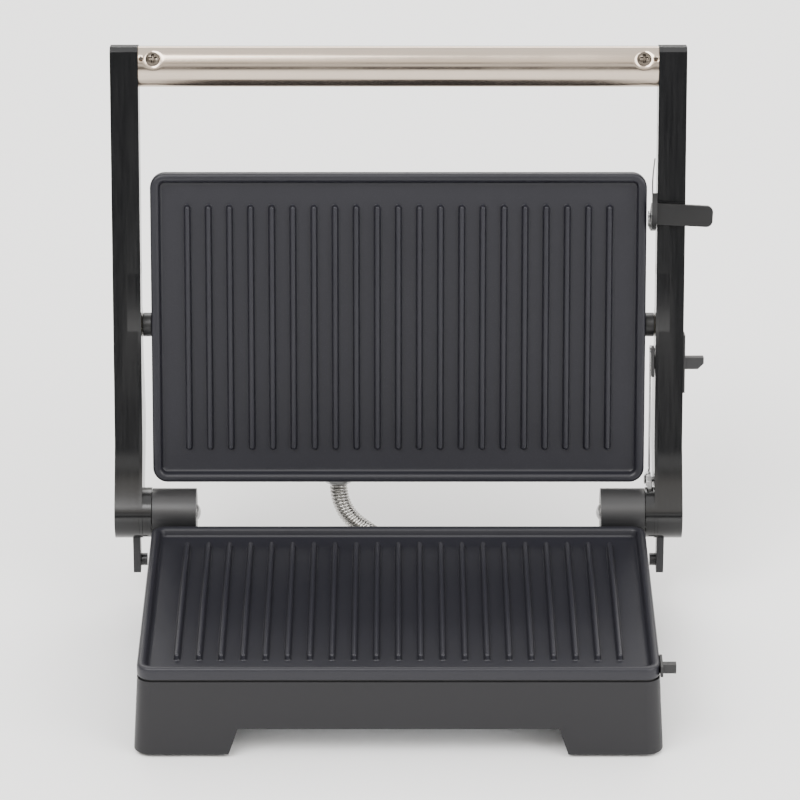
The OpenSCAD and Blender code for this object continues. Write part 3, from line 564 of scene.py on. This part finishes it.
MATERIALS = {}
RECIPES = {
    "charcoal_housing": lambda f: housing_plastic(f.housing),
    "black_arm": lambda f: arm_gloss(f.arm),
    "nonstick_plate": lambda f: plate_coating("Non-stick plate", f.plate),
    # The handle's warm tint is a painted reflection; its brightness is the steel's own
    "polished_handle": lambda f: drawn_steel("Polished handle", f.steel, 0.17, (14.0, 3200.0, 3200.0)),
    "satin_bracket": lambda f: moulded("Satin bracket", f.bracket, 0.4, 1400.0, 0.00002, dust=0.04, wear=0.3,
                                       Metallic=0.0),
    "plain_steel": lambda f: drawn_steel("Plain steel", f.metal, 0.28, (1400.0, 1400.0, 60.0), 0.00001),
    "dark_steel": lambda f: moulded("Blued steel", (0.02, 0.02, 0.022), 0.36, 1700.0, 0.000015, dust=0.04, wear=0.4,
                                    Metallic=0.3),
    "screw_steel": lambda f: drawn_steel("Screw steel", (0.13, 0.11, 0.09), 0.3, (1800.0, 1800.0, 1800.0), 0.00001),
    "zinc_sheet": lambda f: drawn_steel("Zinc-coated sheet", (0.50, 0.51, 0.53), 0.36, (120.0, 160.0, 900.0), 0.00001),
    "shield_sheet": lambda f: drawn_steel("Rolled shield sheet", (0.62, 0.62, 0.63), 0.34, (900.0, 60.0, 900.0),
                                          0.00001),
    "heater_steel": lambda f: drawn_steel("Heater tube", (0.20, 0.17, 0.15), 0.45, (300.0, 300.0, 300.0), 0.00001),
    "coiled_steel": lambda f: drawn_steel("Coiled steel", (0.50, 0.49, 0.47), 0.2, (1600.0, 1600.0, 1600.0), 0.000006),
    "latch_steel": lambda f: moulded("Satin latch", f.latch, 0.38, 1600.0, 0.000015, dust=0.05, wear=0.4, Metallic=0.2),
    "black_plastic": lambda f: moulded("Black plastic", (0.012, 0.012, 0.013), 0.42, 1500.0, 0.00002, dust=0.05),
    "ivory_plastic": lambda f: moulded("Ivory plastic", f.ivory, 0.5, 1200.0, 0.00002, dust=0.03),
    "black_rubber": lambda f: moulded("Black rubber", (0.014, 0.014, 0.014), 0.72, 1000.0, 0.00004, dust=0.12),
    "wire_sleeve": lambda f: moulded("Woven wire sleeve", (0.36, 0.24, 0.14), 0.7, 1900.0, 0.00008, dust=0.02),
    "red_lens": lambda f: lens_plastic("Red lens", (0.22, 0.006, 0.004)),
    "green_lens": lambda f: lens_plastic("Green lens", (0.006, 0.11, 0.016)),
}


# ---------- grill plates ----------

def plate_part(sizes, width, depth):
    """Plate with its rim on z = 0: one profile of (inset, height) carried round the outline, and ribs that flare
    into the floor, each a stadium drawn in by (inset, height) up to its rounded crest."""
    rim, wall = sizes.rim_width, sizes.rim_height
    low, floor = sizes.pan_bottom, sizes.pan_depth
    edge = 1.5 * MM
    profile = [(rim + 1.6 * MM, -low), (rim + 0.5 * MM, -low + 0.3 * MM), (rim, -low + 0.8 * MM), (rim, -wall),
               (0.5 * MM, -wall), (0.12 * MM, -wall + 0.2 * MM), (0, -wall + 0.6 * MM), (0, -edge)]
    profile += [(edge * (1 - math.cos(a)), -edge * (1 - math.sin(a))) for a in np.radians([22, 45, 68, 90])]
    profile += [(rim - 1.6 * MM, 0), (rim - 0.95 * MM, -0.12 * MM), (rim - 0.3 * MM, -0.5 * MM),
                (rim + 0.1 * MM, -1.0 * MM), (rim + 0.35 * MM, -floor + 1.2 * MM),
                (rim + 0.65 * MM, -floor + 0.45 * MM),
                (rim + 1.2 * MM, -floor + 0.08 * MM), (rim + 2.0 * MM, -floor)]
    pan = skin(stacked_loops(width, depth, sizes.corner, profile, least=2.2 * MM))
    rise = floor - sizes.rib_drop
    rib_profile = [(-0.55 * MM, -0.02 * MM), (-0.3 * MM, 0.12 * MM), (-0.12 * MM, 0.4 * MM), (0.05 * MM, 0.95 * MM),
                   (0.15 * MM, rise - 0.75 * MM), (0.35 * MM, rise - 0.3 * MM), (0.72 * MM, rise - 0.04 * MM),
                   (1.0 * MM, rise)]
    rings = stacked_loops(sizes.rib_width, sizes.rib_length + sizes.rib_width, sizes.rib_width / 2, rib_profile,
                          least=0.25 * MM, steps=6)
    points, faces = skin(rings + [0, 0, -floor], first=False)
    middle = (sizes.rib_count - 1) / 2
    ribs = [(points + [(i - middle) * sizes.rib_pitch, 0, 0], faces) for i in range(sizes.rib_count)]
    return joined([pan, *ribs])


class PRESS_OT_plates(bpy.types.Operator):
    """Makes the two ribbed grill plates"""
    bl_idname = "press.plates"
    bl_label = "Grill plates"

    def execute(self, context):
        sizes = context.scene.press_plates
        low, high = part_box("lower_grill_plate")
        width, depth = high.x - low.x, high.y - low.y
        points, faces = plate_part(sizes, width, depth)
        rest = points + [0, (low.y + high.y) / 2, high.z]
        add_piece("lower_plate", (rest, faces), material("nonstick_plate"), "base",
                  ["lower_grill_plate"])
        middle_s = AXIS[1] - (low.y + high.y) / 2
        closed = points * [1, 1, -1] + [0, -middle_s, sizes.gap]
        add_piece("upper_plate", (swing(closed), [f[::-1] for f in faces]), material("nonstick_plate"), "upper_press",
                  ["upper_grill_plate"])
        return {"FINISHED"}


# ---------- housings, brackets and arms ----------

class PRESS_OT_housings(bpy.types.Operator):
    """Makes the base and upper housings, the underside's cover and the feet"""
    bl_idname = "press.housings"
    bl_label = "Housings"

    def execute(self, context):
        eased_copy("base_housing", material("charcoal_housing"), 0.0009, 3)
        eased_copy("upper_housing", material("charcoal_housing"), 0.0012, 3, 30)
        eased_copy("bottom_cover", material("zinc_sheet"), 0.0003, 2)
        eased_copy("foot_pads", material("black_rubber"), 0.0006, 3)
        for name in ("lower_gasket", "upper_gasket"):
            eased_copy(name, material("black_rubber"), 0.0002, 2)
        return {"FINISHED"}


class PRESS_OT_arms(bpy.types.Operator):
    """Makes the gloss arms with their covers, bars and hinge brackets"""
    bl_idname = "press.arms"
    bl_label = "Arms and hinges"

    def execute(self, context):
        for side in ("left", "right"):
            eased_copy(side + "_arm_shell", material("black_arm"), 0.0011, 4)
            eased_copy(side + "_arm_cover", material("black_arm"), 0.0005, 3)
            eased_copy(side + "_arm_bar", material("dark_steel"), 0.0003, 2)
            eased_copy(side + "_hinge_bracket", material("satin_bracket"), 0.0009, 3)
            eased_copy(side + "_hinge_pin", material("plain_steel"), 0.0002, 2)
            eased_copy(side + "_trunnion", material("black_plastic"), 0.0003, 2)
        return {"FINISHED"}


# ---------- handle ----------

def smooth_step(x, low, high):
    t = np.clip((x - low) / (high - low), 0, 1)
    return t * t * (3 - 2 * t)


def handle_part(sizes, half_length):
    """Oval tube (x, a cos v, b sin v) along X, pressed in by exp(-(d / r)^2) round each screw and slot."""
    end = half_length
    near = np.linspace(end - 0.020, end, 70)
    x = np.concatenate([-near[::-1], np.linspace(-end + 0.021, end - 0.021, 60), near])
    v = np.linspace(0, 2 * math.pi, 128, endpoint=False)
    x, v = np.meshgrid(x, v, indexing="ij")
    s = sizes.half_height * np.cos(v)
    h = sizes.half_depth * np.sin(v)
    front = smooth_step(-np.sin(v), 0.05, 0.3)
    for side in (-1, 1):
        d = np.hypot(x - side * (end - sizes.screw_in), s - sizes.screw_s)
        h = h + front * sizes.dimple_depth * np.exp(-(d / sizes.dimple_radius) ** 4)
        gap = np.hypot((x - side * (end - sizes.slot_in)) / 1.3, s - sizes.screw_s)
        h = h + front * 1.4 * MM * (1 - smooth_step(gap, 0.5 * MM, 0.9 * MM))
    rings = np.stack([x, -sizes.centre_s - s, sizes.centre_h + h], axis=-1)
    return skin(rings)


def crosshead_part(radius, height, cross=0.62, width=0.15, depth=0.9):
    """Pan-head screw head, z = H (1 - (r/R)^2.6), with a cross-shaped recess sunk by smooth steps of x and y."""
    rho = np.concatenate([np.linspace(0.02, 0.94, 30), [0.975, 1.0]])
    a = np.linspace(0, 2 * math.pi, 72, endpoint=False)
    rho, a = np.meshgrid(rho, a, indexing="ij")
    x, y = rho * np.cos(a), rho * np.sin(a)
    z = 0.42 + 0.58 * (1 - rho ** 2.6)
    arm = np.minimum(np.abs(x), np.abs(y))
    reach = np.maximum(np.abs(x), np.abs(y))
    sunk = (1 - smooth_step(arm, width - 0.04, width + 0.05)) * (1 - smooth_step(reach, cross - 0.1, cross + 0.06))
    z = z - depth * sunk
    top = np.stack([x * radius, y * radius, z * height], axis=-1)
    skirt = np.stack([x[-1] * radius, y[-1] * radius, np.full(72, 0.0)], axis=-1)
    return skin(np.concatenate([skirt[None], top[::-1]]))


class PRESS_OT_handle(bpy.types.Operator):
    """Makes the bar handle with its pressed dimples and its cross-head screws"""
    bl_idname = "press.handle"
    bl_label = "Handle"

    def execute(self, context):
        sizes = context.scene.press_handle
        low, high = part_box("handle_tube")
        points, faces = handle_part(sizes, high.x)
        add_piece("handle", (swing(points), [f[::-1] for f in faces]), material("polished_handle"), "arm_frame",
                  ["handle_tube"], sharp=50)
        head = crosshead_part(sizes.screw_radius, 1.9 * MM)
        share = sizes.screw_s / sizes.half_height
        skin_h = -sizes.half_depth * math.sqrt(1 - share ** 2)
        lean = (0, -sizes.screw_s / sizes.half_height ** 2, skin_h / sizes.half_depth ** 2)
        heads = []
        for side in (-1, 1):
            place = np.array([side * (high.x - sizes.screw_in), -sizes.centre_s - sizes.screw_s,
                              sizes.centre_h + skin_h + sizes.dimple_depth])
            heads.append((swing(turned(head[0], lean, place)), head[1]))
        add_piece("handle_screw_heads", joined(heads), material("screw_steel"), "arm_frame",
                  ["handle_screws"], sharp=40)
        return {"FINISHED"}


# ---------- conduit ----------

def route_point(start, a, b, end, t):
    """Cubic curve (1-t)^3 start + 3 (1-t)^2 t a + 3 (1-t) t^2 b + t^3 end."""
    t = np.asarray(t, float)[:, None]
    return (1 - t) ** 3 * start + 3 * (1 - t) ** 2 * t * a + 3 * (1 - t) * t ** 2 * b + t ** 3 * end


def coil_part(path, sizes, phase):
    """Close-coiled round strip: r = R - q + sqrt(q^2 - d^2), with q half the pitch and d the distance from the middle
    of the nearest turn, which climbs one pitch for each turn about the path."""
    run = np.concatenate([[0], np.cumsum(np.linalg.norm(np.diff(path, axis=0), axis=1))])
    sides = 20
    v = np.linspace(0, 1, sides, endpoint=False)
    turn = (run[:, None] / sizes.pitch + phase + v[None]) % 1.0 - 0.5
    q = sizes.pitch / 2
    bead = sizes.radius - q + np.sqrt(np.maximum(q ** 2 - (turn * sizes.pitch) ** 2, (0.18 * q) ** 2))
    return swept(path, bead, (1, 0, 0), sides), run[-1]


class PRESS_OT_conduit(bpy.types.Operator):
    """Makes the coiled steel conduit in two halves, and its glands"""
    bl_idname = "press.conduit"
    bl_label = "Conduit"

    def execute(self, context):
        sizes = context.scene.press_conduit
        low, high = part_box("lower_conduit_gland")
        start = np.array([(low.x + high.x) / 2, high.y, (low.z + high.z) / 2])
        end = swing([[sizes.end_x, -sizes.end_s, sizes.end_h]])[0]
        a = start + [0, sizes.pull, 0]
        b = swing([[sizes.end_x, sizes.pull - sizes.end_s, sizes.end_h]])[0]
        phase = 0.0
        halves = (("lower_conduit", 0.0, 0.5, "base", "arm_frame"),
                  ("upper_conduit", 0.5, 1.0, "arm_frame", "upper_press"))
        for name, t0, t1, body_a, body_b in halves:
            path = route_point(start, a, b, end, np.linspace(t0, t1, 420))
            part, run = coil_part(path, sizes, phase)
            phase += run / sizes.pitch
            piece = add_piece(name + "_coil", part, material("coiled_steel"), None, [name], sharp=60)
            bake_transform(piece)
        for name in ("lower_conduit_gland", "upper_conduit_gland"):
            eased_copy(name, material("plain_steel"), 0.0004, 3)
        eased_copy("cord_gland", material("black_plastic"), 0.0005, 3)
        return {"FINISHED"}


# ---------- latch, release lever and stop pawl ----------

class PRESS_OT_levers(bpy.types.Operator):
    """Makes the latch with its spring, the release lever with its pull wire, the stop pawl and the catch"""
    bl_idname = "press.levers"
    bl_label = "Latch and levers"

    def execute(self, context):
        eased_copy("latch_lever", material("latch_steel"), 0.0006, 3)
        eased_copy("release_slider", material("black_plastic"), 0.0004, 3)
        eased_copy("stop_pawl", material("plain_steel"), 0.0003, 2)
        eased_copy("catch_tab", material("latch_steel"), 0.0004, 3)
        for name in ("latch_pin", "pawl_pin"):
            eased_copy(name, material("plain_steel"), 0.0003, 3)
        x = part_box("pull_wire")
        middle = (x[0].x + x[1].x) / 2
        hook = np.radians(np.linspace(200, -20, 9))
        upper = [(middle, -79.2 * MM + 1.7 * MM * math.cos(a), 2 * MM + 1.7 * MM * math.sin(a)) for a in hook]
        hook = np.radians(np.linspace(200, 0, 9))
        lower = [(middle, -19.5 * MM + 1.6 * MM * math.cos(a), 2 * MM + 1.6 * MM * math.sin(a)) for a in hook]
        straight = [(middle, -y * MM, 2 * MM) for y in (76, 62, 48, 34, 23)]
        path = smooth_path([*upper, *straight, *lower], 160)
        part = swept(path, 0.5 * MM, (1, 0, 0), 10)
        add_piece("release_wire", (swing(part[0]), part[1]), material("plain_steel"), "release",
                  ["pull_wire"], sharp=60)
        self.latch_spring()
        return {"FINISHED"}

    def latch_spring(self):
        """Torsion spring: three turns about the latch's pin, then one long leg bowed along the arm."""
        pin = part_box("latch_pin")
        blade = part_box("latch_spring")
        x_out = blade[1].x - 0.4 * MM
        a = np.linspace(0, 3 * 2 * math.pi, 90)
        turns = np.column_stack([pin[0].x + 0.5 * MM + 1.1 * MM * a / (2 * math.pi) * 0.9,
                                 -141 * MM - 4.1 * MM * np.cos(a), 7 * MM + 4.1 * MM * np.sin(a)])
        k = np.linspace(0, 1, 24)[1:]
        leg = np.column_stack([x_out - 0.3 * MM - 1.0 * MM * np.sin(math.pi * k), -145 * MM - 26 * MM * k,
                               np.full(len(k), 5.5 * MM)])
        path = smooth_path(np.vstack([turns, leg]), 420)
        part = swept(path, 0.36 * MM, (0.35, 0.15, 1), 10)
        add_piece("latch_return_spring", (swing(part[0]), part[1]), material("plain_steel"), "arm_frame",
                  ["latch_spring"], sharp=70)


# ---------- hidden works and fasteners ----------

HIDDEN_FINISH = {
    "cover_screws": "screw_steel", "lower_plate_screws": "screw_steel", "upper_plate_screws": "screw_steel",
    "hinge_bracket_screws": "screw_steel", "arm_cover_screws": "screw_steel", "lower_heater": "heater_steel",
    "upper_heater": "heater_steel", "lower_heat_shield": "shield_sheet", "upper_heat_shield": "shield_sheet",
    "thermostat": "ivory_plastic", "terminal_block": "ivory_plastic", "lower_thermal_fuse": "wire_sleeve",
    "upper_thermal_fuse": "wire_sleeve", "base_wiring": "wire_sleeve", "upper_wiring": "wire_sleeve",
    "left_hub_bush": "ivory_plastic", "right_hub_bush": "ivory_plastic", "left_pivot_bush": "ivory_plastic",
    "right_pivot_bush": "ivory_plastic", "left_handle_insert": "black_plastic", "right_handle_insert": "black_plastic",
    "tilt_springs": "plain_steel", "power_lens": "red_lens", "ready_lens": "green_lens",
}


EASED_WORKS = ("power_lens", "ready_lens", "hinge_bracket_screws", "arm_cover_screws", "cover_screws")


class PRESS_OT_works(bpy.types.Operator):
    """Finishes the fasteners, the lenses and what lies inside"""
    bl_idname = "press.works"
    bl_label = "Works and fasteners"

    def execute(self, context):
        for name, finish in HIDDEN_FINISH.items():
            if name in EASED_WORKS:
                eased_copy(name, material(finish), 0.0003, 3)
                continue
            mesh = frame["nodes"][name].data
            mesh.materials.clear()
            mesh.materials.append(material(finish))
        return {"FINISHED"}


# ---------- stage ----------

# name, place, aim, width and height, watts
SOFTBOXES = (
    ("Key light", (-0.9, -1.3, 1.9), (0, 0.05, 0.1), (1.6, 1.0), 52),
    ("Fill light", (1.5, -1.2, 1.1), (0, 0.05, 0.1), (1.4, 1.2), 30),
    ("Back light", (0.1, 1.7, 1.5), (0, 0.05, 0.15), (1.8, 0.8), 26),
)
# sine of the height above the horizon, and the room's colour there
SKY_BANDS = (
    (0.0, (0.05, 0.05, 0.05)), (0.13, (0.07, 0.07, 0.07)), (0.19, (0.85, 0.84, 0.82)), (0.28, (0.85, 0.84, 0.82)),
    (0.35, (0.12, 0.11, 0.10)), (0.44, (0.98, 0.93, 0.86)), (1.0, (1, 1, 1)),
)
SKY_STRENGTH = 1.9
FLOOR_WIDTH, FLOOR_CORNER, FLOOR_DROP = 9.0, 1.0, 0.0001


def softbox(name, place, aim, size, power):
    """A rectangular area light that looks from its place to a point."""
    lamp = bpy.data.lights.new(name, "AREA")
    lamp.shape = "RECTANGLE"
    lamp.size, lamp.size_y = size
    lamp.energy = power
    light = bpy.data.objects.new(name, lamp)
    way = Vector(aim) - Vector(place)
    light.matrix_world = Matrix.Translation(place) @ way.to_track_quat("-Z", "Y").to_matrix().to_4x4()
    bpy.context.scene.collection.objects.link(light)


class PRESS_OT_stage(bpy.types.Operator):
    """Makes the pale floor, the soft lights and the camera"""
    bl_idname = "press.stage"
    bl_label = "Stage"

    def execute(self, context):
        sizes = context.scene.press_stage
        finishes = context.scene.press_finishes
        add_floor(finishes.floor)
        for light in SOFTBOXES:
            softbox(*light)
        add_sky()
        a = sizes.elevation
        target = Vector((0, sizes.target_y, sizes.target_z))
        back = Vector((0, -math.cos(a), math.sin(a)))
        lens = bpy.data.cameras.new("Camera")
        lens.lens, lens.sensor_width = sizes.lens, 36
        lens.shift_x = sizes.shift
        lens.clip_end = 40
        camera = bpy.data.objects.new("Camera", lens)
        camera.matrix_world = (Matrix.Translation(target + back * sizes.distance)
                               @ (-back).to_track_quat("-Z", "Y").to_matrix().to_4x4())
        context.scene.collection.objects.link(camera)
        context.scene.camera = camera
        return {"FINISHED"}


def add_floor(rgb):
    """A wide flat sheet just under the soles."""
    ring = rounded_loop(FLOOR_WIDTH, FLOOR_WIDTH, FLOOR_CORNER)
    mesh = bpy.data.meshes.new("floor")
    mesh.from_pydata(np.column_stack([ring, np.full(len(ring), -FLOOR_DROP)]), [], [list(range(len(ring)))])
    pale = start_material("Pale floor", Roughness=0.7, Base_Color=(*rgb, 1), Specular_IOR_Level=0.2)[0]
    mesh.materials.append(pale)
    floor = bpy.data.objects.new("floor", mesh)
    bpy.context.scene.collection.objects.link(floor)
    return floor


def add_sky():
    """A nearly white room with two dim bands low down, set by the Z of the direction."""
    world = bpy.data.worlds.new("Room")
    world.use_nodes = True
    tree = world.node_tree
    ground = next(n for n in tree.nodes if n.type == "BACKGROUND")
    ground.inputs["Strength"].default_value = SKY_STRENGTH
    place = tree.nodes.new("ShaderNodeTexCoord")
    split = tree.nodes.new("ShaderNodeSeparateXYZ")
    ramp = tree.nodes.new("ShaderNodeValToRGB")
    while len(ramp.color_ramp.elements) < len(SKY_BANDS):
        ramp.color_ramp.elements.new(0.5)
    for stop, (at, rgb) in zip(ramp.color_ramp.elements, SKY_BANDS):
        stop.position, stop.color = at, (*rgb, 1)
    tree.links.new(place.outputs["Generated"], split.inputs["Vector"])
    tree.links.new(split.outputs["Z"], ramp.inputs["Fac"])
    tree.links.new(ramp.outputs["Color"], ground.inputs["Color"])
    bpy.context.scene.world = world


# ---------- panel and registration ----------

STEPS = (PRESS_OT_stage, PRESS_OT_plates, PRESS_OT_housings, PRESS_OT_arms, PRESS_OT_handle, PRESS_OT_conduit,
         PRESS_OT_levers, PRESS_OT_works)


class PRESS_PT_panel(bpy.types.Panel):
    """Lists the press's sizes and the steps that make it"""
    bl_label = "Panini Press"
    bl_idname = "PRESS_PT_panel"
    bl_space_type = "VIEW_3D"
    bl_region_type = "UI"
    bl_category = "Press"

    def draw(self, context):
        for step in STEPS:
            self.layout.operator(step.bl_idname)
        for group in GROUP_CLASSES:
            box = self.layout.box()
            for name in GROUP_CLASSES[group].__annotations__:
                box.prop(getattr(context.scene, group), name)


GROUP_CLASSES = {"press_plates": PlateSizes, "press_handle": HandleSizes, "press_conduit": ConduitSizes,
                 "press_finishes": Finishes, "press_stage": StageSizes}


def register():
    for cls in (*GROUP_CLASSES.values(), *STEPS, PRESS_PT_panel):
        bpy.utils.register_class(cls)
    for name, cls in GROUP_CLASSES.items():
        setattr(bpy.types.Scene, name, PointerProperty(type=cls))


def unregister():
    for name in GROUP_CLASSES:
        delattr(bpy.types.Scene, name)
    for cls in reversed((*GROUP_CLASSES.values(), *STEPS, PRESS_PT_panel)):
        bpy.utils.unregister_class(cls)


def main():
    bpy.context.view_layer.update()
    register()
    bpy.ops.press.stage()
    bpy.ops.press.plates()
    bpy.ops.press.housings()
    bpy.ops.press.arms()
    bpy.ops.press.handle()
    bpy.ops.press.conduit()
    bpy.ops.press.levers()
    bpy.ops.press.works()


if __name__ == "__main__":
    main()
